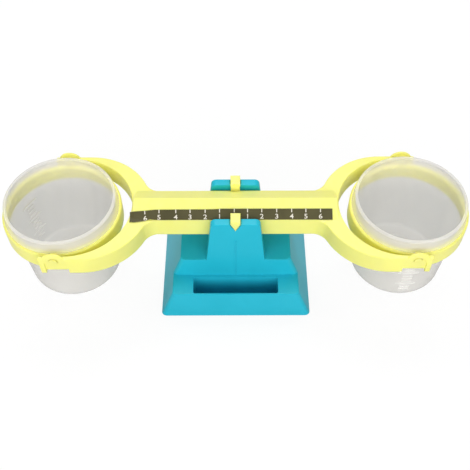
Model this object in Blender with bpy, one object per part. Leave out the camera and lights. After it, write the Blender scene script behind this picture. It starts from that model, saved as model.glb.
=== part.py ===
"""Bucket balance: a stepped base with two towers, a forked beam on knife edges,
two hinged carrying rings and two lift-out buckets.

Metres, +Z up, floor at Z = 0, beam along X, the marked side of the beam faces -Y.
"""
import math

import bmesh
import bpy
from mathutils import Matrix, Vector

# bucket
BUCKET_REACH = 0.157
BUCKET_FLOOR_GAP = 0.016
BUCKET_HEIGHT = 0.094
BUCKET_RIM_R = 0.050
BUCKET_FOOT_R = 0.0431
BUCKET_WALL = 0.0015
BUCKET_FOOT_ROUND = 0.005
FOOT_HOLLOW = 0.0006
FOOT_LAND = 0.004
RIM_ROUND = 0.0012
SKIRT_HEIGHT = 0.0127
SKIRT_FLARE = 0.0017
SKIRT_WALL = 0.0012
SKIRT_ROOT = 0.003
SEAT_CLEARANCE = 0.0003

# carrying ring
RING_HEIGHT = 0.018
RING_WALL = 0.0024
RING_LEDGE = 0.00548
RING_ROUND = 0.0018
RING_CHAMFER = 0.0005
PIN_R = 0.0035
PIN_CLEARANCE = 0.0003
PIN_SHOULDER = 0.0012
PIN_STAND_OUT = 0.0008
PIN_BELOW_RING_TOP = 0.0015

# beam
PIVOT_ABOVE_PINS = 0.002
ARM_TOP_ABOVE_PINS = 0.0045
BEAM_HALF_WIDTH = 0.0171
BEAM_WALL = 0.0024
BEAM_SIDE_HEIGHT = 0.0207
ROOF_RISE = 0.010
ROOF_SETBACK = 0.0016
ROOF_EDGE = 0.0008
GABLE_EDGE = 0.0022
ARM_UNDERSIDE_RISE = 0.0009
ARM_UNDERSIDE_STEP = 0.0003
FORK_RING_GAP = 0.0018
FORK_INNER_SHIFT = 0.008
FORK_OUTER_SHIFT = 0.0206
FORK_FILLET = 0.016
FORK_HOLLOW_END = 0.008
PRONG_THICKNESS = 0.0041
PRONG_REACH = 0.0128
ARM_EDGE = 0.0014
TIP_EDGE = 0.0012
HOOD_R = 0.0108
HOOD_DEPTH = 0.0022
HOOD_POCKET_R = 0.0100
HOOD_POCKET_SHIFT = 0.0020
HOOD_POCKET_DROP = 0.0044
HOOD_POCKET_DEPTH = 0.0013
HOOD_NOTCH = 0.0032
HOOD_EDGE = 0.0007

# knife-edge lugs
LUG_HALF_WIDTH = 0.0044
LUG_HEIGHT = 0.012
LUG_SIDE_HEIGHT = 0.0028
LUG_ROOT = 0.0006
LUG_EDGE = 0.0006
LUG_PAD = 0.0014
LUG_PAD_DEPTH = 0.012

# scale strip on the front roof slope
STRIP_END_MARGIN = 0.0033
STRIP_SHIFT = 0.0025
STRIP_THICKNESS = 0.0004
STRIP_GAP = 0.0002
STRIP_BELOW_RIDGE = 0.0090
STRIP_WIDTH = 0.0097

# base
BASE_WIDTH = 0.143
BASE_DEPTH = 0.112
BASE_WALL = 0.0024
SIDE_LEAN = 0.36
FRONT_SETBACK = 0.0016
STEP_HEIGHT = 0.035
DECK_HEIGHT = 0.057
STEP_TREAD = 0.0224
CORNER_ROUND = 0.0045
EDGE_ROUND = 0.0012
POCKET_WIDTH = 0.0796
POCKET_LIP = 0.0016
POCKET_BACK = 0.0027
POCKET_DEPTH = 0.027
POCKET_FLOOR = 0.002
POCKET_ROUND = 0.002

# towers
TOWER_GAP = 0.0022
TOWER_ABOVE_PIVOT = 0.0075
TOWER_FOOT_WIDTH = 0.054
TOWER_TOP_WIDTH = 0.0437
TOWER_LEAN = 0.073
TOWER_CORNER = 0.005
NOTCH_HALF_ANGLE = math.radians(34.0)
NOTCH_CLEARANCE = 0.0003

# run-out of cutting tools past a face, and how far a joined form stands proud of a shared plane
RUN_OUT = 0.002
PROUD = 0.00002

TURN_STEPS = 64
ARC_STEPS = 22

# heights and radii that follow from the sizes above
RIM_Z = BUCKET_FLOOR_GAP + BUCKET_HEIGHT
WALL_TOP_R = BUCKET_RIM_R - SKIRT_WALL
SKIRT_FOOT = RIM_Z - SKIRT_HEIGHT
RING_TOP = SKIRT_FOOT - SEAT_CLEARANCE
RING_FOOT = RING_TOP - RING_HEIGHT
PIN_Z = RING_TOP - PIN_BELOW_RING_TOP
PIVOT_Z = PIN_Z + PIVOT_ABOVE_PINS
ARM_TOP = PIN_Z + ARM_TOP_ABOVE_PINS
BEAM_FOOT = ARM_TOP - BEAM_SIDE_HEIGHT
RIDGE_Z = ARM_TOP + ROOF_RISE
TOWER_TOP = PIVOT_Z + TOWER_ABOVE_PIVOT
TOWER_IN = BEAM_HALF_WIDTH + TOWER_GAP


def bucket_r(z):
    """Outer wall radius of a bucket at height z."""
    share = (z - BUCKET_FLOOR_GAP) / BUCKET_HEIGHT
    return BUCKET_FOOT_R + (WALL_TOP_R - BUCKET_FOOT_R) * share


def skirt_r(z):
    """Outer radius of a bucket's turned-down skirt at height z."""
    return BUCKET_RIM_R + SKIRT_FLARE * (RIM_Z - z) / SKIRT_HEIGHT


RING_R = bucket_r(RING_TOP) + SEAT_CLEARANCE + RING_LEDGE
FORK_INNER_R = RING_R + FORK_RING_GAP
FORK_OUTER_R = FORK_INNER_R + PRONG_THICKNESS
WEB_OUT = FORK_OUTER_R - HOOD_POCKET_DEPTH
ROOF_HALF_LENGTH = BUCKET_REACH - FORK_INNER_SHIFT - FORK_INNER_R - ROOF_SETBACK
STRIP_HALF_LENGTH = ROOF_HALF_LENGTH - STRIP_END_MARGIN

STEP_HALF = BASE_DEPTH / 2 - FRONT_SETBACK
RISER_HALF = STEP_HALF - STEP_TREAD


def half_width(z):
    """Half width of the base at height z."""
    return BASE_WIDTH / 2 - SIDE_LEAN * z


def front_face(z):
    """Depth of the leaning riser and tower face at height z."""
    return RISER_HALF - TOWER_LEAN * (z - STEP_HEIGHT)


LUG_END = front_face(PIVOT_Z)


def arc(cx, cy, radius, start, stop, steps):
    """Points on a circle from start to stop, in degrees."""
    points = []
    for i in range(steps + 1):
        a = math.radians(start + (stop - start) * i / steps)
        points.append((cx + radius * math.cos(a), cy + radius * math.sin(a)))
    return points


def loft(near, far):
    """Closed solid between two matching loops of 3-D points."""
    bm = bmesh.new()
    a = [bm.verts.new(p) for p in near]
    b = [bm.verts.new(p) for p in far]
    bm.faces.new(a)
    bm.faces.new(b)
    for i in range(len(a)):
        j = (i + 1) % len(a)
        bm.faces.new((a[i], a[j], b[j], b[i]))
    bmesh.ops.recalc_face_normals(bm, faces=bm.faces)
    return bm


def box(x0, x1, y0, y1, z0, z1):
    """Plain block."""
    loop = [(x0, y0), (x1, y0), (x1, y1), (x0, y1)]
    return loft([(x, y, z0) for x, y in loop], [(x, y, z1) for x, y in loop])


def along_y(outline, y0, y1):
    """X-Z outline run along Y."""
    return loft([(x, y0, z) for x, z in outline], [(x, y1, z) for x, z in outline])


def rod(x, z, radius, y0, y1, steps=32):
    """Round rod along Y."""
    return along_y(arc(x, z, radius, 0, 360 - 360 / steps, steps - 1), y0, y1)


def turned(profile, x):
    """Closed radius-height profile turned about an upright axis at x."""
    bm = bmesh.new()
    verts = [bm.verts.new((r, 0, z)) for r, z in profile]
    edges = [bm.edges.new((verts[i], verts[i + 1])) for i in range(len(verts) - 1)]
    if profile[0][0] > 0:
        edges.append(bm.edges.new((verts[-1], verts[0])))
    bmesh.ops.spin(bm, geom=verts + edges, cent=(0, 0, 0), axis=(0, 0, 1),
                   angle=2 * math.pi, steps=TURN_STEPS, use_merge=True)
    bmesh.ops.remove_doubles(bm, verts=bm.verts, dist=1e-7)
    bmesh.ops.recalc_face_normals(bm, faces=bm.faces)
    bmesh.ops.translate(bm, verts=bm.verts, vec=(x, 0, 0))
    return bm


def round_edges(bm, keep, width, segments):
    """Round every edge that keep() picks by its two end points."""
    edges = [e for e in bm.edges if keep(e.verts[0].co, e.verts[1].co)]
    bmesh.ops.bevel(bm, geom=edges, offset=width, offset_type='OFFSET', segments=segments,
                    profile=0.5, affect='EDGES', clamp_overlap=True)
    return bm


def plastic(name, colour, roughness, alpha=1.0):
    """Moulded plastic of one colour."""
    material = bpy.data.materials.new(name)
    material.use_nodes = True
    shader = material.node_tree.nodes["Principled BSDF"]
    shader.inputs["Base Color"].default_value = (*colour, 1.0)
    shader.inputs["Roughness"].default_value = roughness
    shader.inputs["Metallic"].default_value = 0.0
    shader.inputs["Alpha"].default_value = alpha
    return material


def piece(name, bm, material, origin, parent=None):
    """Named object whose own origin is at the given point."""
    mesh = bpy.data.meshes.new(name)
    bm.to_mesh(mesh)
    bm.free()
    mesh.transform(Matrix.Translation(-Vector(origin)))
    mesh.materials.append(material)
    mesh.shade_smooth()
    mesh.set_sharp_from_angle(angle=math.radians(35))
    obj = bpy.data.objects.new(name, mesh)
    bpy.context.scene.collection.objects.link(obj)
    obj.location = origin
    if parent is not None:
        obj.parent = parent
        bpy.context.view_layer.update()
        obj.matrix_parent_inverse = parent.matrix_world.inverted()
    return obj


def tool(name, bm):
    """Hidden helper solid for a boolean step."""
    mesh = bpy.data.meshes.new(name)
    bm.to_mesh(mesh)
    bm.free()
    obj = bpy.data.objects.new(name, mesh)
    bpy.context.scene.collection.objects.link(obj)
    obj.hide_render = True
    obj.display_type = 'WIRE'
    return obj


def join(obj, name, bm, operation):
    """Boolean step on obj with a hidden helper."""
    helper = tool(name, bm)
    step = obj.modifiers.new(name, 'BOOLEAN')
    step.operation = operation
    step.solver = 'EXACT'
    step.object = helper
    return helper


for old in list(bpy.data.objects):
    bpy.data.objects.remove(old, do_unlink=True)

TURQUOISE = plastic("turquoise_plastic", (0.040, 0.497, 0.651), 0.28)
YELLOW = plastic("yellow_plastic", (0.96, 0.93, 0.30), 0.30)
MILKY = plastic("milky_plastic", (0.86, 0.86, 0.83), 0.35, 0.55)
DARK_PRINT = plastic("dark_print", (0.120, 0.100, 0.047), 0.45)


# base: stepped shell with a storage pocket in each lower step, two towers with V notches
deck_half = front_face(DECK_HEIGHT)


def block(z0, z1, width_at, depth_at):
    """Tapered block with rounded upright corners and a rounded top edge."""
    corners = ((-1, -1), (1, -1), (1, 1), (-1, 1))
    bm = loft([(sx * width_at(z0), sy * depth_at(z0), z0) for sx, sy in corners],
              [(sx * width_at(z1), sy * depth_at(z1), z1) for sx, sy in corners])
    round_edges(bm, lambda a, b: abs(a.z - b.z) > (z1 - z0) / 2, CORNER_ROUND, 4)
    round_edges(bm, lambda a, b: min(a.z, b.z) > z1 - 1e-5, EDGE_ROUND, 2)
    return bm


lower = block(0.0, STEP_HEIGHT, half_width, lambda z: BASE_DEPTH / 2 - FRONT_SETBACK * z / STEP_HEIGHT)
base = piece("base", lower, TURQUOISE, (0, 0, 0))
deck = block(STEP_HEIGHT - CORNER_ROUND, DECK_HEIGHT, lambda z: half_width(z) + PROUD, front_face)
join(base, "deck_form", deck, 'UNION')

for side, word in ((-1, "front"), (1, "rear")):
    foot_z = DECK_HEIGHT - BASE_WALL - EDGE_ROUND
    foot_w = TOWER_FOOT_WIDTH / 2
    top_w = TOWER_TOP_WIDTH / 2
    taper = (foot_w - top_w) / (TOWER_TOP - DECK_HEIGHT)
    low_w = foot_w + taper * (DECK_HEIGHT - foot_z)
    turn = math.degrees(math.atan(taper))
    inset = TOWER_CORNER * (1 + taper * taper) ** 0.5 - TOWER_CORNER * taper
    centre_x = top_w - inset
    centre_z = TOWER_TOP - TOWER_CORNER
    outline = [(low_w, foot_z)]
    outline += arc(centre_x, centre_z, TOWER_CORNER, turn, 90, 6)
    outline += arc(-centre_x, centre_z, TOWER_CORNER, 90, 180 - turn, 6)
    outline += [(-low_w, foot_z)]
    outer = [(x, side * (front_face(z) + PROUD), z) for x, z in outline]
    inner = [(x, side * TOWER_IN, z) for x, z in outline]
    tower = loft(outer, inner)
    round_edges(tower, lambda a, b: (max(a.z, b.z) > foot_z + 1e-3
                                     and abs(a.y - b.y) < TOWER_LEAN * abs(a.z - b.z) + 1e-6),
                EDGE_ROUND, 2)
    join(base, word + "_tower_form", tower, 'UNION')

slope = (1 + SIDE_LEAN * SIDE_LEAN) ** 0.5 * BASE_WALL
inside = [(-BASE_DEPTH / 2 + BASE_WALL, -RUN_OUT), (BASE_DEPTH / 2 - BASE_WALL, -RUN_OUT),
          (STEP_HALF - BASE_WALL, STEP_HEIGHT - BASE_WALL),
          (RISER_HALF - BASE_WALL, STEP_HEIGHT - BASE_WALL),
          (deck_half - BASE_WALL, DECK_HEIGHT - BASE_WALL),
          (-deck_half + BASE_WALL, DECK_HEIGHT - BASE_WALL),
          (-RISER_HALF + BASE_WALL, STEP_HEIGHT - BASE_WALL),
          (-STEP_HALF + BASE_WALL, STEP_HEIGHT - BASE_WALL)]
hollow = loft([(-half_width(z) + slope, y, z) for y, z in inside],
              [(half_width(z) - slope, y, z) for y, z in inside])
hollow_form = join(base, "hollow_form", hollow, 'DIFFERENCE')

pocket_front = STEP_HALF - POCKET_LIP
pocket_back = RISER_HALF + POCKET_BACK
pocket_foot = STEP_HEIGHT - POCKET_DEPTH
pocket_half = POCKET_WIDTH / 2
for side, word in ((-1, "front"), (1, "rear")):
    wall_y = sorted((side * BASE_DEPTH / 2, side * (pocket_back - BASE_WALL)))
    well = box(-pocket_half - BASE_WALL, pocket_half + BASE_WALL, wall_y[0], wall_y[1],
               pocket_foot - POCKET_FLOOR, STEP_HEIGHT)
    join(hollow_form, word + "_well_form", well, 'DIFFERENCE')
    room_y = sorted((side * pocket_front, side * pocket_back))
    room = box(-pocket_half, pocket_half, room_y[0], room_y[1], pocket_foot, STEP_HEIGHT + RUN_OUT)
    round_edges(room, lambda a, b: abs(a.z - b.z) > POCKET_DEPTH / 2, POCKET_ROUND, 3)
    join(base, word + "_pocket_form", room, 'DIFFERENCE')
    notch_z = PIVOT_Z - NOTCH_CLEARANCE
    lip_z = TOWER_TOP + RUN_OUT
    spread = (lip_z - notch_z) * math.tan(NOTCH_HALF_ANGLE)
    notch_y = sorted((side * (TOWER_IN - RUN_OUT), side * (front_face(notch_z) + RUN_OUT)))
    notch = along_y([(0, notch_z), (spread, lip_z), (-spread, lip_z)], notch_y[0], notch_y[1])
    join(base, word + "_notch_form", notch, 'DIFFERENCE')


# beam: gabled bar, a curved fork at each end with hooded pin holes, and two knife-edge lugs
gable = [(-BEAM_HALF_WIDTH, BEAM_FOOT), (BEAM_HALF_WIDTH, BEAM_FOOT), (BEAM_HALF_WIDTH, ARM_TOP),
         (0, RIDGE_Z), (-BEAM_HALF_WIDTH, ARM_TOP)]
bar = loft([(-ROOF_HALF_LENGTH, y, z) for y, z in gable], [(ROOF_HALF_LENGTH, y, z) for y, z in gable])
round_edges(bar, lambda a, b: a.x * b.x > 0 and max(a.z, b.z) > RIDGE_Z - 1e-5, GABLE_EDGE, 3)
round_edges(bar, lambda a, b: a.x * b.x < 0 and min(a.z, b.z) > BEAM_FOOT + 1e-5, ROOF_EDGE, 2)
beam = piece("beam", bar, YELLOW, (0, 0, PIVOT_Z))


def mirrored(bm, sign):
    """The same solid, flipped in X when sign is negative."""
    if sign < 0:
        bmesh.ops.scale(bm, vec=(-1, 1, 1), verts=bm.verts)
        bmesh.ops.reverse_faces(bm, faces=bm.faces)
    return bm


inner_x = BUCKET_REACH - FORK_INNER_SHIFT
outer_x = BUCKET_REACH - FORK_OUTER_SHIFT
tip_x = BUCKET_REACH + PRONG_REACH
neck_y = BEAM_HALF_WIDTH - 2 * PROUD
reach = FORK_OUTER_R + FORK_FILLET
neck_x = outer_x - (reach ** 2 - (neck_y + FORK_FILLET) ** 2) ** 0.5
swing = math.degrees(math.atan2(neck_y + FORK_FILLET, neck_x - outer_x))
upper = arc(neck_x, neck_y + FORK_FILLET, FORK_FILLET, 270, swing + 180, 8)
upper += arc(outer_x, 0, FORK_OUTER_R, swing, 90, ARC_STEPS)[1:]
upper += [(tip_x, FORK_OUTER_R), (tip_x, FORK_INNER_R)]
upper += arc(inner_x, 0, FORK_INNER_R, 90, 180, ARC_STEPS)
outline = upper + [(x, -y) for x, y in reversed(upper[:-1])]


def underside(x):
    """Height of the fork's lower edge at distance x from the pivot."""
    share = (x - neck_x) / (BUCKET_REACH - neck_x)
    return BEAM_FOOT + ARM_UNDERSIDE_STEP + ARM_UNDERSIDE_RISE * share


prong_foot = underside(BUCKET_REACH)
core_out = FORK_OUTER_R - BEAM_WALL
core_in = FORK_INNER_R + BEAM_WALL
core_x = outer_x - FORK_HOLLOW_END
core_a = math.degrees(math.acos((core_x - outer_x) / core_out))
core_b = math.degrees(math.acos((core_x - inner_x) / core_in))
core = arc(outer_x, 0, core_out, core_a, 360 - core_a, 2 * ARC_STEPS)
core += arc(inner_x, 0, core_in, 360 - core_b, core_b, 2 * ARC_STEPS)

for sign, hand in ((-1, "left"), (1, "right")):
    fork = loft([(x, y, underside(x)) for x, y in outline], [(x, y, ARM_TOP) for x, y in outline])
    round_edges(fork, lambda a, b: min(a.x, b.x) > tip_x - 1e-5 and abs(a.z - b.z) > HOOD_NOTCH,
                TIP_EDGE, 3)
    round_edges(fork, lambda a, b: min(a.z, b.z) > ARM_TOP - 1e-5 and max(a.x, b.x) > neck_x + 1e-5,
                ARM_EDGE, 3)
    join(beam, hand + "_fork_form", mirrored(fork, sign), 'UNION')
    for side, word in ((-1, "front"), (1, "rear")):
        y0, y1 = sorted((side * (FORK_OUTER_R - HOOD_DEPTH), side * (FORK_OUTER_R - PROUD)))
        hood = rod(sign * BUCKET_REACH, PIN_Z, HOOD_R, y0, y1, 48)
        round_edges(hood, lambda a, b: abs(a.y - b.y) < 1e-6, HOOD_EDGE, 2)
        join(beam, hand + "_" + word + "_hood_form", hood, 'UNION')

peak = RIDGE_Z - BEAM_WALL * (1 + (ROOF_RISE / BEAM_HALF_WIDTH) ** 2) ** 0.5
core_half = BEAM_HALF_WIDTH - BEAM_WALL
brow = peak - ROOF_RISE * core_half / BEAM_HALF_WIDTH
cave = [(-core_half, BEAM_FOOT - RUN_OUT), (core_half, BEAM_FOOT - RUN_OUT), (core_half, brow),
        (0, peak), (-core_half, brow)]
cave_x = ROOF_HALF_LENGTH - BEAM_WALL
join(beam, "bar_hollow_form", loft([(-cave_x, y, z) for y, z in cave], [(cave_x, y, z) for y, z in cave]),
     'DIFFERENCE')

for sign, hand in ((-1, "left"), (1, "right")):
    room = loft([(x, y, BEAM_FOOT - RUN_OUT / 2) for x, y in core],
                [(x, y, ARM_TOP - BEAM_WALL - PROUD) for x, y in core])
    join(beam, hand + "_fork_hollow_form", mirrored(room, sign), 'DIFFERENCE')
    cx = sign * BUCKET_REACH
    mid = cx - sign * HOOD_POCKET_SHIFT
    lower = BEAM_FOOT - RUN_OUT
    arch = arc(mid, PIN_Z - HOOD_POCKET_DROP, HOOD_POCKET_R, 0, 180, 20)
    arch += [(mid - HOOD_POCKET_R, lower), (mid + HOOD_POCKET_R, lower)]
    foot = [(mid - HOOD_POCKET_R, lower), (mid + HOOD_POCKET_R, lower),
            (mid + HOOD_POCKET_R, prong_foot + HOOD_NOTCH), (mid - HOOD_POCKET_R, prong_foot + HOOD_NOTCH)]
    for side, word in ((-1, "front"), (1, "rear")):
        label = hand + "_" + word
        y0, y1 = sorted((side * WEB_OUT, side * (FORK_OUTER_R + RUN_OUT)))
        join(beam, label + "_pocket_form", along_y(arch, y0, y1), 'DIFFERENCE')
        y0, y1 = sorted((side * (FORK_INNER_R - RUN_OUT), side * (WEB_OUT + HOOD_POCKET_DEPTH / 2)))
        join(beam, label + "_foot_notch_form", along_y(foot, y0, y1), 'DIFFERENCE')
        hole = rod(cx, PIN_Z, PIN_R + PIN_CLEARANCE, y0, y1)
        join(beam, label + "_pin_hole_form", hole, 'DIFFERENCE')

lug_top = PIVOT_Z + LUG_HEIGHT
lug_brow = lug_top - LUG_SIDE_HEIGHT
lug = [(0, PIVOT_Z), (LUG_HALF_WIDTH, lug_brow), (LUG_HALF_WIDTH, lug_top),
       (-LUG_HALF_WIDTH, lug_top), (-LUG_HALF_WIDTH, lug_brow)]
for side, word in ((-1, "front"), (1, "rear")):
    y0, y1 = sorted((side * (BEAM_HALF_WIDTH - LUG_ROOT), side * LUG_END))
    hook = along_y(lug, y0, y1)
    round_edges(hook, lambda a, b: min(a.z, b.z) > lug_top - 1e-5, LUG_EDGE, 2)
    join(beam, word + "_lug_form", hook, 'UNION')
    y0, y1 = sorted((side * (BEAM_HALF_WIDTH - LUG_ROOT / 2), side * (BEAM_HALF_WIDTH + LUG_PAD)))
    pad_x = LUG_HALF_WIDTH - LUG_EDGE / 2
    pad = box(-pad_x, pad_x, y0, y1, ARM_TOP - LUG_PAD_DEPTH, lug_top - LUG_EDGE)
    join(beam, word + "_lug_pad_form", pad, 'UNION')


# scale strip: thin printed band on the front roof slope
def on_roof(down, lift):
    """Point on the front roof slope, this far down from the ridge and this far off the surface."""
    run = math.hypot(BEAM_HALF_WIDTH, ROOF_RISE)
    y = -(BEAM_HALF_WIDTH * down + ROOF_RISE * lift) / run
    return y, RIDGE_Z + (BEAM_HALF_WIDTH * lift - ROOF_RISE * down) / run


strip_top = STRIP_BELOW_RIDGE
strip_foot = STRIP_BELOW_RIDGE + STRIP_WIDTH
strip_face = STRIP_GAP + STRIP_THICKNESS
band = [on_roof(strip_top, STRIP_GAP), on_roof(strip_foot, STRIP_GAP),
        on_roof(strip_foot, strip_face), on_roof(strip_top, strip_face)]
strip = loft([(-STRIP_HALF_LENGTH - STRIP_SHIFT, y, z) for y, z in band],
             [(STRIP_HALF_LENGTH - STRIP_SHIFT, y, z) for y, z in band])
piece("scale_strip", strip, DARK_PRINT, (0, 0, PIVOT_Z), beam)


# carrying rings and buckets
flange = RING_TOP - RING_WALL
ring_profile = [(RING_R - RING_WALL, RING_FOOT + RING_CHAMFER),
                (RING_R - RING_WALL + RING_CHAMFER, RING_FOOT),
                (RING_R - RING_CHAMFER, RING_FOOT), (RING_R, RING_FOOT + RING_CHAMFER)]
ring_profile += arc(RING_R - RING_ROUND, RING_TOP - RING_ROUND, RING_ROUND, 0, 90, 4)
ring_profile += [(bucket_r(RING_TOP) + SEAT_CLEARANCE, RING_TOP),
                 (bucket_r(flange) + SEAT_CLEARANCE, flange), (RING_R - RING_WALL, flange)]

foot_z = BUCKET_FLOOR_GAP
turn_z = foot_z + BUCKET_FOOT_ROUND
turn_r = bucket_r(turn_z) - BUCKET_FOOT_ROUND
inner_round = BUCKET_FOOT_ROUND - BUCKET_WALL
root_z = RIM_Z - SKIRT_ROOT
bucket_profile = [(0, foot_z + FOOT_HOLLOW), (turn_r - FOOT_LAND, foot_z + FOOT_HOLLOW),
                  (turn_r - FOOT_LAND + FOOT_HOLLOW, foot_z)]
bucket_profile += arc(turn_r, turn_z, BUCKET_FOOT_ROUND, 270, 360, 6)
bucket_profile += [(bucket_r(root_z), root_z), (skirt_r(root_z) - SKIRT_WALL, root_z),
                   (skirt_r(SKIRT_FOOT) - SKIRT_WALL, SKIRT_FOOT), (skirt_r(SKIRT_FOOT), SKIRT_FOOT)]
bucket_profile += arc(BUCKET_RIM_R - RIM_ROUND, RIM_Z - RIM_ROUND, RIM_ROUND, 0, 90, 5)
bucket_profile += [(WALL_TOP_R - BUCKET_WALL, RIM_Z)]
bucket_profile += arc(turn_r, turn_z, inner_round, 360, 270, 5)
bucket_profile += [(0, foot_z + BUCKET_WALL)]

for sign, hand in ((-1, "left"), (1, "right")):
    cx = sign * BUCKET_REACH
    ring = piece(hand + "_ring", turned(ring_profile, cx), YELLOW, (cx, 0, PIN_Z), beam)
    for side, word in ((-1, "front"), (1, "rear")):
        y0, y1 = sorted((side * (RING_R - RING_WALL / 2), side * (FORK_INNER_R - PIN_CLEARANCE)))
        shoulder = rod(cx, PIN_Z, PIN_R + PIN_SHOULDER, y0, y1)
        join(ring, hand + "_" + word + "_shoulder_form", shoulder, 'UNION')
        y0, y1 = sorted((side * (RING_R - RING_WALL / 3), side * (WEB_OUT + PIN_STAND_OUT)))
        join(ring, hand + "_" + word + "_pin_form", rod(cx, PIN_Z, PIN_R, y0, y1), 'UNION')
    piece(hand + "_bucket", turned(bucket_profile, cx), MILKY, (cx, 0, PIN_Z), ring)
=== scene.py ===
import math

import bmesh
import bpy
from mathutils import Matrix, Vector


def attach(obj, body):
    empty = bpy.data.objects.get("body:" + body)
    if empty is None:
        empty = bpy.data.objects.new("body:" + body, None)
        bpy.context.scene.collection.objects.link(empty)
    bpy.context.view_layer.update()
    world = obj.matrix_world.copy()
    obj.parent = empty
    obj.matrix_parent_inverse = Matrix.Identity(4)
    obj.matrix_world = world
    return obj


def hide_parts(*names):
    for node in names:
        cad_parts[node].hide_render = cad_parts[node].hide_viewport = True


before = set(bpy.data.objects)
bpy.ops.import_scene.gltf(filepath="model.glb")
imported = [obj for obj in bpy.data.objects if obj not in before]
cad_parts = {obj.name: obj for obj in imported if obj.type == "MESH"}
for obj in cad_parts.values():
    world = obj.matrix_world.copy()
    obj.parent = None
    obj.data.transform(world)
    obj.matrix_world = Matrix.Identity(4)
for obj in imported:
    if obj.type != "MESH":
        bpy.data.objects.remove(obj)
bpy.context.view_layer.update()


# Camera: the photograph looks down on the marked side of the beam from the front.
# Its place was worked out from the rims, the steps of the base and the ridge of the beam.
photo_width_px = 470
focal_length_px = 726.6
sensor_width_mm = 36.0
elevation = math.radians(53.27)
turn = math.radians(0.15)
roll = math.radians(-0.31)
target = Vector((-0.0005, 0.0, 0.0549))
distance = 0.6917
back = Vector((math.sin(turn) * math.cos(elevation),
               -math.cos(turn) * math.cos(elevation),
               math.sin(elevation)))
level = back.cross(Vector((0, 0, -1))).normalized()
upright = back.cross(level)
side_axis = level * math.cos(roll) + upright * math.sin(roll)
up_axis = upright * math.cos(roll) - level * math.sin(roll)
lens = bpy.data.cameras.new("photo_lens")
lens.sensor_fit = 'HORIZONTAL'
lens.sensor_width = sensor_width_mm
lens.lens = sensor_width_mm * focal_length_px / photo_width_px
lens.clip_start = 0.01
camera = bpy.data.objects.new("photo_camera", lens)
bpy.context.scene.collection.objects.link(camera)
camera.matrix_world = Matrix.Translation(target + back * distance) @ Matrix(
    (side_axis, up_axis, back)).transposed().to_4x4()
bpy.context.scene.camera = camera


# Base: one turquoise injection moulding, glossy, with a stepped body and two towers.
# It stands free on its lower rim; a fine mould line runs up the middle of each tower.
class Wire:
    """One output of a node tree. Sums and products of wires and numbers add Math nodes."""

    def __init__(self, tree, socket=None):
        self.tree = tree
        self.socket = socket

    def add(self, kind, settings=None, inputs=None, output=0):
        """A node of this kind, its settings first and then the values or links of its inputs."""
        node = self.tree.nodes.new(kind)
        for name, value in (settings or {}).items():
            if name == "stops":
                ramp = node.color_ramp
                while len(ramp.elements) < len(value):
                    ramp.elements.new(0.5)
                for element, (place, colour) in zip(ramp.elements, value):
                    element.position = place
                    element.color = (*colour, 1.0)
            else:
                setattr(node, name, value)
        for name, value in (inputs or {}).items():
            if isinstance(value, Wire):
                self.tree.links.new(value.socket, node.inputs[name])
            else:
                node.inputs[name].default_value = value
        return Wire(self.tree, node.outputs[output] if node.outputs else None)

    def maths(self, operation, first, second):
        return self.add('ShaderNodeMath', {"operation": operation}, {0: first, 1: second})

    def __add__(self, other):
        return self.maths('ADD', self, other)

    __radd__ = __add__

    def __sub__(self, other):
        return self.maths('SUBTRACT', self, other)

    def __rsub__(self, other):
        return self.maths('SUBTRACT', other, self)

    def __mul__(self, other):
        return self.maths('MULTIPLY', self, other)

    __rmul__ = __mul__


def blank(name):
    """A new material with an empty tree, and a wire to build it from."""
    material = bpy.data.materials.new(name)
    material.use_nodes = True
    material.node_tree.nodes.clear()
    return material, Wire(material.node_tree)


def moulded_plastic(name, deep, bright, gloss, sheen_break, grain, body_by_height=None, **fixed):
    """Injection-moulded plastic: slow flow mottling, polished-tool haze, hairline scuffs and a fine skin.

    A translucent one may get its body from the height: how much it covers at two heights."""
    mean_haze = 0.5
    scuff_dulling = 0.02
    material, start = blank(name)
    place = start.add('ShaderNodeTexCoord', output="Object")
    flow = start.add('ShaderNodeTexNoise', {},
                     {"Vector": place, "Scale": 22.0, "Detail": 3.0, "Roughness": 0.55, "Distortion": 0.6})
    haze = start.add('ShaderNodeTexNoise', {}, {"Vector": place, "Scale": 160.0, "Detail": 2.0})
    along = start.add('ShaderNodeMapping', {},
                      {"Vector": place, "Rotation": (0.3, 0.5, 0.7), "Scale": (60.0, 1400.0, 1400.0)})
    hairline = start.add('ShaderNodeTexNoise', {}, {"Vector": along, "Scale": 1.0, "Detail": 1.0})
    scuff = start.add('ShaderNodeMapRange', {"interpolation_type": 'SMOOTHSTEP'},
                      {"Value": hairline, "From Min": 0.66, "From Max": 0.74})
    skin = start.add('ShaderNodeTexNoise', {}, {"Vector": place, "Scale": 1500.0, "Detail": 2.0})
    colour = start.add('ShaderNodeValToRGB', {"stops": [(0.3, deep), (0.7, bright)]}, {0: flow})
    roughness = gloss + sheen_break * (haze - mean_haze) + scuff_dulling * scuff
    bump = start.add('ShaderNodeBump', {}, {"Strength": grain, "Distance": 0.0002, "Height": skin})
    inputs = {"Base Color": colour, "Roughness": roughness, "Normal": bump}
    if body_by_height:
        height = start.add('ShaderNodeSeparateXYZ', {}, {"Vector": place}, output="Z")
        inputs["Alpha"] = start.add('ShaderNodeMapRange', {}, {"Value": height, **body_by_height})
    inputs.update(fixed)
    shader = start.add('ShaderNodeBsdfPrincipled', {}, inputs)
    start.add('ShaderNodeOutputMaterial', {}, {"Surface": shader})
    return material


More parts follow.
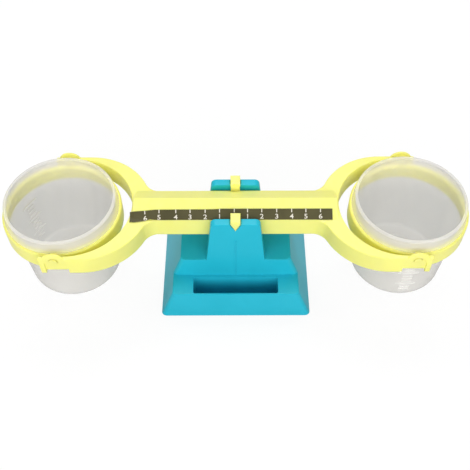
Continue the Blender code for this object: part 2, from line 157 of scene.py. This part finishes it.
def leading_normals(bm, crisp):
    """Corner normals in which broad flat faces lead, so that the rounds beside them take up the turn."""
    same_plane = 0.99998
    square_mm = 1e6
    bm.normal_update()
    flat_of, areas = {}, []
    for seed in bm.faces:
        if seed in flat_of:
            continue
        flat_of[seed] = len(areas)
        area, waiting = 0.0, [seed]
        while waiting:
            face = waiting.pop()
            area += face.calc_area() * square_mm
            for other in (f for e in face.edges for f in e.link_faces):
                if other not in flat_of and other.normal.dot(seed.normal) > same_plane:
                    flat_of[other] = len(areas)
                    waiting.append(other)
        areas.append(area)
    soft = {e for e in bm.edges if len(e.link_faces) == 2 and e.calc_face_angle(math.pi) < crisp}
    normals = []
    for corner in (loop for face in bm.faces for loop in face.loops):
        fan, waiting = {corner.face}, [corner.face]
        while waiting:
            for edge in waiting.pop().edges:
                if edge in soft and corner.vert in edge.verts:
                    waiting += [f for f in edge.link_faces if f not in fan]
                    fan.update(edge.link_faces)
        leads = {flat_of[f]: f.normal for f in fan}
        total = sum((normal * areas[flat] ** 2 for flat, normal in leads.items()), Vector())
        normals.append(total.normalized() if total.length > 0 else corner.face.normal)
    return normals


def finish_piece(name, bm, material, body):
    """A finished piece at the origin: smooth, with its crisp edges kept, riding on its body."""
    crisp = math.radians(35.0)
    normals = leading_normals(bm, crisp)
    mesh = bpy.data.meshes.new(name)
    bm.to_mesh(mesh)
    bm.free()
    mesh.materials.append(material)
    mesh.shade_smooth()
    mesh.set_sharp_from_angle(angle=crisp)
    mesh.normals_split_custom_set(normals)
    piece = bpy.data.objects.new(name, mesh)
    bpy.context.scene.collection.objects.link(piece)
    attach(piece, body)
    return piece


def moulding(node, name, material, body):
    """The moulded form of a node, its triangles joined so that its rounds shade smoothly."""
    weld = 2e-6
    bm = bmesh.new()
    bm.from_mesh(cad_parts[node].data)
    bmesh.ops.remove_doubles(bm, verts=bm.verts, dist=weld)
    bmesh.ops.dissolve_degenerate(bm, dist=weld, edges=bm.edges)
    piece = finish_piece(name, bm, material, body)
    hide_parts(node)


turquoise = moulded_plastic("turquoise_plastic", (0.016, 0.455, 0.600), (0.022, 0.490, 0.645),
                            gloss=0.28, sheen_break=0.02, grain=0.01, **{"Specular IOR Level": 0.14})
moulding("base", "base_shell", turquoise, "base")

tower_foot = 0.0350
tower_foot_depth = 0.0320
tower_draft = 0.073
line_foot = 0.0362
line_top = 0.0840
line_width = 0.0011
line_proud = 0.00050
line_round = 0.00030
for side, word in ((-1, "front"), (1, "rear")):
    bm = bmesh.new()
    bmesh.ops.create_cube(bm, size=1.0)
    bmesh.ops.scale(bm, vec=(line_width, 2 * line_proud, line_top - line_foot), verts=bm.verts)
    uprights = [e for e in bm.edges if abs(e.verts[0].co.z - e.verts[1].co.z) > line_width]
    bmesh.ops.bevel(bm, geom=uprights, offset=line_round, offset_type='OFFSET', segments=2, profile=0.5,
                    affect='EDGES', material=-1)
    for v in bm.verts:
        v.co.z += (line_foot + line_top) / 2
        v.co.y += side * (tower_foot_depth - tower_draft * (v.co.z - tower_foot))
    finish_piece(word + "_mould_line", bm, turquoise, "base")


# Beam: one pale yellow moulding, glossy, open underneath, with a gabled bar, two forks,
# four hooded pin eyes and two knife-edge lugs that lie loose in the tower notches.
yellow = moulded_plastic("yellow_plastic", (0.945, 0.898, 0.235), (0.975, 0.928, 0.260),
                         gloss=0.30, sheen_break=0.08, grain=0.02,
                         **{"Specular IOR Level": 0.22, "Subsurface Weight": 0.40,
                            "Subsurface Scale": 0.008, "Subsurface Radius": (1.0, 0.85, 0.15)})
moulding("beam", "beam_moulding", yellow, "beam")


# Scale film: a dark printed self-adhesive film along the front slope of the roof, put on by hand.
# Its left end was laid a little askew, with a small pleat, and reaches past the gable.
ridge_height = 0.110
roof_run = 0.0171
roof_drop = 0.0100
slope = Vector((0, -roof_run, -roof_drop)).normalized()
outward = Vector((0, -roof_drop, roof_run)).normalized()
film_gap = 0.0002
pleat_x = -0.0759
pleat_width = 0.0011
pleat_height = 0.0008
pleat_least = 0.4
pleat_from = 0.0080
pleat_reach = 0.0110
gable_x = -0.0898
droop_radius = 0.0022
droop_most = 0.0012
fork_x = -0.0720
fork_top = 0.1004


def on_roof(x, down, lift):
    """Point on the front roof slope, this far down from the ridge and this far off the surface."""
    return Vector((x, 0, ridge_height)) + slope * down + outward * lift


def on_film(x, down, lift):
    """Point above the back of the film, which lies on the roof and, at its left end, on the fork."""
    pleat_share = min(1.0, max(pleat_least, (down - pleat_from) / pleat_reach))
    pleat = pleat_height * math.exp(-((x - pleat_x) / pleat_width) ** 2) * pleat_share
    past_gable = max(0.0, gable_x - x)
    droop = min(droop_most, past_gable ** 2 / (2 * droop_radius))
    point = on_roof(x, down, film_gap + pleat - droop + lift)
    if x < fork_x:
        point.z = max(point.z, fork_top + lift)
    return point


def along_edge(points, x):
    """How far down the roof a trimmed edge lies at x, between points given from left to right."""
    for (x0, down0), (x1, down1) in zip(points, points[1:]):
        if x <= x1:
            return down0 + (down1 - down0) * (x - x0) / (x1 - x0)
    return points[-1][1]


film_left = -0.0940
film_right = 0.0862
film_thickness = 0.0004
film_top = [(film_left, 0.0122), (-0.0804, 0.0113), (-0.0715, 0.0104), (-0.0200, 0.0102),
            (-0.0120, 0.0097), (0.0860, 0.0099)]
film_foot = [(film_left, 0.0234), (-0.0862, 0.0220), (-0.0800, 0.0206), (-0.0762, 0.0190),
             (-0.0725, 0.0195), (-0.0685, 0.0197), (0.0, 0.0196), (0.0860, 0.0197)]
bm = bmesh.new()
bmesh.ops.create_grid(bm, x_segments=180, y_segments=12, size=0.5)
for v in bm.verts:
    x = film_left + (film_right - film_left) * (v.co.x + 0.5)
    share = v.co.y + 0.5
    down = along_edge(film_foot, x) * (1 - share) + along_edge(film_top, x) * share
    v.co = on_film(x, down, 0.0)
bmesh.ops.recalc_face_normals(bm, faces=bm.faces)
if sum(f.normal.dot(outward) for f in bm.faces) < 0:
    bmesh.ops.reverse_faces(bm, faces=bm.faces)
bmesh.ops.solidify(bm, geom=bm.faces[:], thickness=-film_thickness)
bmesh.ops.recalc_face_normals(bm, faces=bm.faces)
film = moulded_plastic("dark_film", (0.052, 0.046, 0.018), (0.098, 0.088, 0.037),
                       gloss=0.50, sheen_break=0.16, grain=0.12, **{"Specular IOR Level": 0.25})
scale_film = finish_piece("scale_film", bm, film, "beam")
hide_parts("scale_strip")

mark_places_mm = (-80.7, -67.9, -53.0, -40.3, -26.9, -14.1, -1.0, 10.8, 23.4, 36.7, 50.0, 62.6, 75.6)
highest_mark = 6
mark_lift = film_thickness + 0.0001
end_mark_turn = math.radians(5.5)
tick_width = 0.0008
tick_length = 0.0032
tick_height = 0.00006
digit_size = 0.0060
digit_stretch = 1.2
digit_base = -0.0088
digit_boldness = 0.00004
digit_height = 0.00003
bm = bmesh.new()
for count, place_mm in enumerate(mark_places_mm, -highest_mark):
    x = place_mm / 1000
    lean = Matrix.Rotation(end_mark_turn if count == -highest_mark else 0.0, 4, 'Z')
    top = along_edge(film_top, x)
    mark = bmesh.new()
    bmesh.ops.create_cube(mark, size=1.0, matrix=Matrix.Translation((0, -tick_length / 2, 0))
                          @ Matrix.Diagonal((tick_width, tick_length, tick_height, 1.0)))
    if count != 0:
        words = bpy.data.curves.new("digit", 'FONT')
        words.body = str(abs(count))
        words.align_x = 'CENTER'
        words.size = digit_size
        words.offset = digit_boldness
        words.extrude = digit_height
        words.resolution_u = 4
        carrier = bpy.data.objects.new("digit", words)
        digit = bpy.data.meshes.new_from_object(carrier)
        digit.transform(Matrix.Translation((0, digit_base, 0))
                        @ Matrix.Diagonal((digit_stretch, 1.0, 1.0, 1.0)))
        mark.from_mesh(digit)
        bpy.data.objects.remove(carrier)
        bpy.data.curves.remove(words)
        bpy.data.meshes.remove(digit)
    for v in mark.verts:
        flat = lean @ v.co
        v.co = on_film(x + flat.x, top - flat.y, mark_lift + flat.z)
    print_mesh = bpy.data.meshes.new("mark")
    mark.to_mesh(print_mesh)
    mark.free()
    bm.from_mesh(print_mesh)
    bpy.data.meshes.remove(print_mesh)
print_ink = moulded_plastic("pale_print", (0.70, 0.66, 0.55), (0.80, 0.76, 0.65),
                            gloss=0.50, sheen_break=0.15, grain=0.10)
finish_piece("scale_marks", bm, print_ink, "beam")


# Carrying rings: the same yellow plastic, each an inverted-L collar with two moulded pins
# that spring into the eyes of the fork.
for hand in ("left", "right"):
    moulding(hand + "_ring", hand + "_ring_moulding", yellow, hand + "_ring")


# Buckets: thin milky plastic, translucent, each one round moulding with a turned-down skirt
# that sits loose on the ring. Measuring lines stand out on one side of its wall, inside and outside.
def arc(cx, cz, radius, start, stop, steps):
    """Points on a circle from start to stop, in degrees."""
    turns = [math.radians(start + (stop - start) * i / steps) for i in range(steps + 1)]
    return [(cx + radius * math.cos(a), cz + radius * math.sin(a)) for a in turns]


full_turn = 2 * math.pi


def spun(bm, profile, angle, start, steps):
    """Adds the profile turned about the upright axis; one that starts off the axis is closed first."""
    verts = [bm.verts.new((r * math.cos(start), r * math.sin(start), z)) for r, z in profile]
    edges = [bm.edges.new(pair) for pair in zip(verts, verts[1:])]
    if profile[0][0] > 0:
        edges.append(bm.edges.new((verts[-1], verts[0])))
    bmesh.ops.spin(bm, geom=verts + edges, cent=(0, 0, 0), axis=(0, 0, 1), angle=angle, steps=steps,
                   use_merge=angle == full_turn)


bucket_x = 0.157
foot_z = 0.0160
brim_z = 0.1100
wall = 0.0015
wall_foot_r = 0.0431
wall_flare = 0.0057


def wall_r(z):
    """Outer radius of the tapered wall at height z."""
    return wall_foot_r + wall_flare * (z - foot_z) / (brim_z - foot_z)


panel_r = 0.0350
panel_depth = 0.0006
foot_round = 0.0050
foot_round_r = 0.0384
wall_heights = (0.035, 0.050, 0.065, 0.080, 0.095)
groove_top = 0.1070
skirt_root_r = 0.0492
skirt_in_r = 0.0505
skirt_out_r = 0.0517
skirt_foot = 0.0973
skirt_chamfer = 0.0002
rim_out_r = 0.0500
rim_in_r = 0.0473
rim_out_round = 0.0012
rim_in_round = 0.0005
floor_z = foot_z + wall
foot_ring_out_r = 0.0302
foot_ring_in_r = 0.0282
foot_ring_proud = 0.0003
gate_r = 0.0040
gate_proud = 0.0002

bucket = [(0, foot_z + panel_depth), (panel_r - panel_depth, foot_z + panel_depth), (panel_r, foot_z)]
bucket += arc(foot_round_r, foot_z + foot_round, foot_round, 270, 360, 10)
bucket += [(wall_r(z), z) for z in wall_heights]
bucket += [(wall_r(groove_top), groove_top), (skirt_root_r, groove_top),
           (skirt_in_r, skirt_foot + skirt_chamfer), (skirt_in_r + skirt_chamfer, skirt_foot),
           (skirt_out_r - skirt_chamfer, skirt_foot), (skirt_out_r, skirt_foot + skirt_chamfer)]
bucket += arc(rim_out_r - rim_out_round, brim_z - rim_out_round, rim_out_round, 0, 90, 8)
bucket += arc(rim_in_r + rim_in_round, brim_z - rim_in_round, rim_in_round, 90, 180, 4)
bucket += [(wall_r(z) - wall, z) for z in reversed(wall_heights)]
bucket += arc(foot_round_r, foot_z + foot_round, foot_round - wall, 360, 270, 8)
bucket += [(foot_ring_out_r, floor_z), (foot_ring_out_r - foot_ring_proud, floor_z + foot_ring_proud),
           (foot_ring_in_r + foot_ring_proud, floor_z + foot_ring_proud), (foot_ring_in_r, floor_z)]
bucket += [(gate_r, floor_z), (gate_r - 2 * gate_proud, floor_z + gate_proud), (0, floor_z + gate_proud)]

measure_rows = 11
long_rows = (2, 6, 10)
measure_foot = 0.0278
measure_pitch = 0.00463
short_measure = 12.0
long_measure = 24.0
inner_proud = 0.0003
outer_proud = 0.0002
inner_half_height = 0.0005
outer_half_height = 0.0002

thicker_rim = {"From Min": 0.1080, "From Max": 0.1094, "To Min": 0.32, "To Max": 0.62}
milky = moulded_plastic("milky_plastic", (0.910, 0.888, 0.850), (0.935, 0.913, 0.875),
                        gloss=0.34, sheen_break=0.08, grain=0.02, body_by_height=thicker_rim,
                        **{"Transmission Weight": 0.3, "IOR": 1.2, "Specular IOR Level": 0.4})
milky_ribs = moulded_plastic("milky_ribs", (0.960, 0.950, 0.930), (0.970, 0.960, 0.940),
                             gloss=0.34, sheen_break=0.08, grain=0.04,
                             **{"Alpha": 0.42, "Specular IOR Level": 0.4})
for hand, sign, measure_side in (("left", -1, 150.0), ("right", 1, 271.5)):
    bm = bmesh.new()
    spun(bm, bucket, full_turn, 0.0, 128)
    bmesh.ops.remove_doubles(bm, verts=bm.verts, dist=1e-6)
    bmesh.ops.recalc_face_normals(bm, faces=bm.faces)
    bmesh.ops.translate(bm, vec=(sign * bucket_x, 0, 0), verts=bm.verts)
    shell = finish_piece(hand + "_bucket_shell", bm, milky, hand + "_bucket")
    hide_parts(hand + "_bucket")

    bm = bmesh.new()
    for row in range(measure_rows):
        z = measure_foot + measure_pitch * row
        wide = long_measure if row in long_rows else short_measure
        inner_r = wall_r(z) - wall - inner_proud
        outer_r = wall_r(z) + outer_proud
        rib = [(inner_r, z - inner_half_height), (outer_r, z - outer_half_height),
               (outer_r, z + outer_half_height), (inner_r, z + inner_half_height)]
        spun(bm, rib, math.radians(wide), math.radians(measure_side - wide / 2), 8)
        open_ends = [e for e in bm.edges if e.is_boundary]
        bmesh.ops.holes_fill(bm, edges=open_ends, sides=4)
    bmesh.ops.recalc_face_normals(bm, faces=bm.faces)
    bmesh.ops.translate(bm, vec=(sign * bucket_x, 0, 0), verts=bm.verts)
    finish_piece(hand + "_measuring_lines", bm, milky_ribs, hand + "_bucket")


# Setting: a plain pale floor that keeps the shadow, two softboxes and a white surround.
# The floor looks nearly white to the camera, and less so through the milky walls.
floor_half = 3.0
floor_tone = 0.50
glow_strength = 1.12
glow_seen = 0.8
glow_lost_through_walls = 0.7
glow_reflected = 0.12
white_light = (1.0, 1.0, 1.0, 1.0)
floor_material, start = blank("pale_floor")
onward = start.maths('MAXIMUM', start.add('ShaderNodeLightPath', output="Is Glossy Ray"),
                     start.add('ShaderNodeLightPath', output="Is Transmission Ray"))
through = start.maths('MINIMUM', start.add('ShaderNodeLightPath', output="Transparent Depth"), 1.0)
in_camera = start.add('ShaderNodeLightPath', output="Is Camera Ray")
seen = in_camera * (glow_seen - glow_lost_through_walls * through)
share = start.maths('MAXIMUM', seen, glow_reflected * onward)
matt = start.add('ShaderNodeBsdfDiffuse', {}, {"Color": (floor_tone, floor_tone, floor_tone, 1.0)})
glow = start.add('ShaderNodeEmission', {}, {"Color": white_light, "Strength": glow_strength})
mixed = start.add('ShaderNodeMixShader', {}, {0: share, 1: matt, 2: glow})
start.add('ShaderNodeOutputMaterial', {}, {"Surface": mixed})
bm = bmesh.new()
bmesh.ops.create_grid(bm, x_segments=2, y_segments=2, size=floor_half)
floor_mesh = bpy.data.meshes.new("floor")
bm.to_mesh(floor_mesh)
bm.free()
floor_mesh.materials.append(floor_material)
floor = bpy.data.objects.new("floor", floor_mesh)
bpy.context.scene.collection.objects.link(floor)

world = bpy.data.worlds.new("studio")
bpy.context.scene.world = world
world.use_nodes = True
world.node_tree.nodes.clear()
air = Wire(world.node_tree)
direct = air.maths('MAXIMUM', air.add('ShaderNodeLightPath', output="Is Camera Ray"),
                   air.add('ShaderNodeLightPath', output="Is Transmission Ray"))
surround = air.add('ShaderNodeBackground', {}, {"Color": white_light, "Strength": 0.45})
white = air.add('ShaderNodeBackground', {}, {"Color": white_light, "Strength": 1.0})
sky = air.add('ShaderNodeMixShader', {}, {0: direct, 1: surround, 2: white})
air.add('ShaderNodeOutputWorld', {}, {"Surface": sky})

lamp_target = Vector((0, 0, 0.06))
for name, place, width, height, power in (("key_softbox", (0.0, -1.60, 0.88), 3.6, 1.2, 33.0),
                                          ("top_softbox", (0.0, 0.72, 1.48), 1.4, 0.7, 14.0)):
    lamp = bpy.data.lights.new(name, 'AREA')
    lamp.shape = 'RECTANGLE'
    lamp.size = width
    lamp.size_y = height
    lamp.energy = power
    lamp_object = bpy.data.objects.new(name, lamp)
    bpy.context.scene.collection.objects.link(lamp_object)
    lamp_object.location = place
    aim = lamp_target - Vector(place)
    lamp_object.rotation_euler = aim.to_track_quat('-Z', 'Y').to_euler()

bpy.context.scene.view_settings.view_transform = 'Standard'
